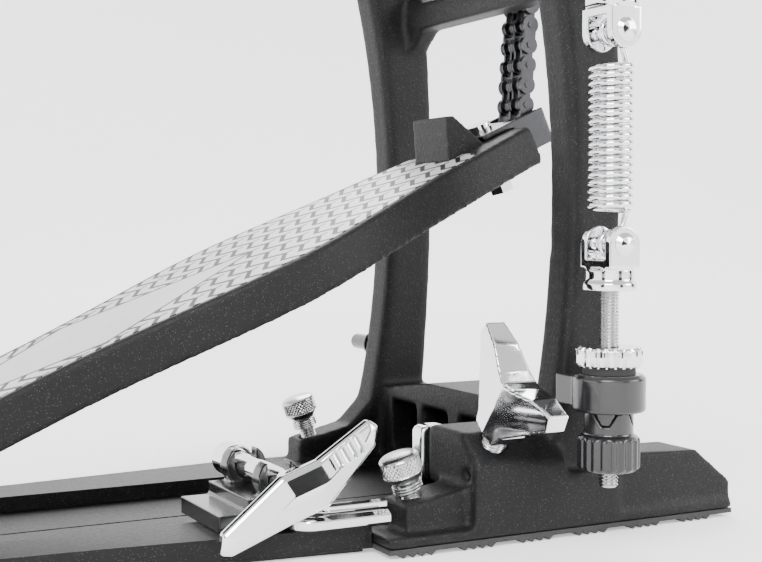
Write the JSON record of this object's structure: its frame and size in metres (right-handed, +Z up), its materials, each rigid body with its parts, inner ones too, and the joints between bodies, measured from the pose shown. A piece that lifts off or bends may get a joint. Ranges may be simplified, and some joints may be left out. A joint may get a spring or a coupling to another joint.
{
  "type": "bass drum pedal",
  "caption": "Single bass drum pedal: footboard on a heel hinge, chain and wheel on a drive shaft between two posts, beater, side tension spring, hoop clamp and base plate.",
  "frame": {"origin": "on the floor under the base plate mat, on the middle plane, below the axis of the return spring", "axes": "+X forward to the drum, +Y to the player's left, +Z up"},
  "size_m": [0.36, 0.1845, 0.3613],
  "materials": {
    "cast_black": "textured black powder coat with fine sparkle",
    "plate_black": "satin black powder coat",
    "rubber": "matt black moulded rubber",
    "steel": "zinc plated steel",
    "chrome": "bright chrome plate",
    "black_steel": "oiled black steel",
    "inlay": "satin silver with thin black grip lines",
    "gloss_black": "moulded black plastic",
    "felt": "hard pressed white felt"
  },
  "bodies": {
    "frame": {"frame_casting": "cast_black", "base_plate": "plate_black", "plate_mat": "rubber", "side_pads": "rubber", "base_plate_screws": "steel", "heel_plate_screws": "steel", "heel_plate": "cast_black", "heel_pin": "steel", "shaft_bearings": "steel", "bearing_cover": "gloss_black", "lower_clevis": "chrome", "lower_pin": "chrome", "spring_rod": "steel", "nut_washer": "rubber", "spring_bracket": "gloss_black", "blanking_plug": "gloss_black", "lever_pin": "steel", "upper_jaw_pad": "rubber", "tool_clip": "gloss_black", "spur_spring_right": "steel", "spur_spring_left": "steel", "hex_key_small": "chrome", "hex_key_large": "chrome"},
    "board": {"footboard": "cast_black", "footboard_inlay": "inlay", "toe_stop": "cast_black", "chain_clamp": "black_steel", "chain_bolt": "chrome"},
    "shaft": {"drive_shaft": "steel", "chain_wheel": "cast_black", "wheel_grub_screw": "steel", "chain_anchor_pin": "steel", "rod_screw": "chrome", "rocker_arm": "chrome", "rocker_pin": "chrome", "rocker_screw": "steel", "chain_wrapped_links": "black_steel", "chain_link_1": "black_steel", "chain_link_2": "black_steel", "chain_link_3": "black_steel"},
    "chain_run": {"chain_run_outer_links": "black_steel", "chain_run_inner_links": "black_steel"},
    "beater": {"beater_rod": "chrome", "beater_core": "gloss_black", "beater_felt": "felt"},
    "spring_swivel": {"spring": "chrome"},
    "hanger": {"upper_clevis": "chrome", "upper_pin": "chrome"},
    "tension_nut": {"tension_nut": "steel"},
    "lock_nut": {"lock_nut": "gloss_black"},
    "wing_bolt": {"wing_bolt": "chrome"},
    "clamp_lever": {"clamp_lever": "chrome", "lower_jaw_pad": "rubber"},
    "spur_right": {"spur_right": "steel"},
    "spur_left": {"spur_left": "steel"},
    "drum_key": {"drum_key": "chrome"}
  },
  "joints": [
    {"name": "shaft_turn", "type": "hinge", "parent": "frame", "child": "shaft", "pos_m": [0.001, 0, 0.203], "axis": [0, 1, 0], "range_deg": [0, 38], "stiffness_Nm_per_rad": 1, "springref_deg": -20.05},
    {"name": "footboard_swing", "type": "hinge", "parent": "frame", "child": "board", "pos_m": [-0.225, 0, 0.017], "axis": [0, 1, 0], "range_deg": [0, 3.72]},
    {"name": "chain_turn", "type": "hinge", "parent": "shaft", "child": "chain_run", "pos_m": [0.02485, 0, 0.203], "axis": [0, 1, 0], "range_deg": [-47.06, 0]},
    {"name": "beater_height", "type": "slide", "parent": "shaft", "child": "beater", "axis": [-0.6691, 0, 0.7431], "range_m": [-0.006, 0.02]},
    {"name": "spring_tilt", "type": "hinge", "parent": "frame", "child": "spring_swivel", "pos_m": [0, -0.084, 0.0908], "axis": [0, 1, 0], "range_deg": [-11.4, 0]},
    {"name": "hanger_lift", "type": "slide", "parent": "spring_swivel", "child": "hanger", "axis": [0, 0, 1], "range_m": [0, 0.00768], "deforming": ["spring"]},
    {"name": "tension_nut_turn", "type": "hinge", "parent": "frame", "child": "tension_nut", "pos_m": [0, -0.084, 0.057], "axis": [0, 0, 1], "continuous": true},
    {"name": "lock_nut_release", "type": "slide", "parent": "frame", "child": "lock_nut", "axis": [0, 0, -1], "range_m": [0, 0.0045]},
    {"name": "wing_bolt_turn", "type": "hinge", "parent": "frame", "child": "wing_bolt", "pos_m": [-0.029, -0.063, 0.0275], "axis": [0, -0.5878, 0.809], "range_deg": [-32, 32]},
    {"name": "clamp_lever_rock", "type": "hinge", "parent": "frame", "child": "clamp_lever", "pos_m": [0.005, 0, 0.014], "axis": [0, -1, 0], "range_deg": [0, 4]},
    {"name": "spur_right_travel", "type": "slide", "parent": "frame", "child": "spur_right", "axis": [-0.3256, 0, 0.9455], "range_m": [-0.0025, 0.006], "deforming": ["spur_spring_right"]},
    {"name": "spur_left_travel", "type": "slide", "parent": "frame", "child": "spur_left", "axis": [-0.3256, 0, 0.9455], "range_m": [-0.0025, 0.006], "deforming": ["spur_spring_left"]},
    {"name": "drum_key_lift", "type": "slide", "parent": "frame", "child": "drum_key", "axis": [0, 0, 1], "range_m": [0, 0.025]}
  ],
  "couplings": [
    {"joint": "footboard_swing", "follows": "shaft_turn", "ratio": 0.097429},
    {"joint": "chain_turn", "follows": "shaft_turn", "ratio": -1.238},
    {"joint": "spring_tilt", "follows": "shaft_turn", "ratio": -0.29947},
    {"joint": "hanger_lift", "follows": "shaft_turn", "m_per_rad": 0.011549}
  ]
}
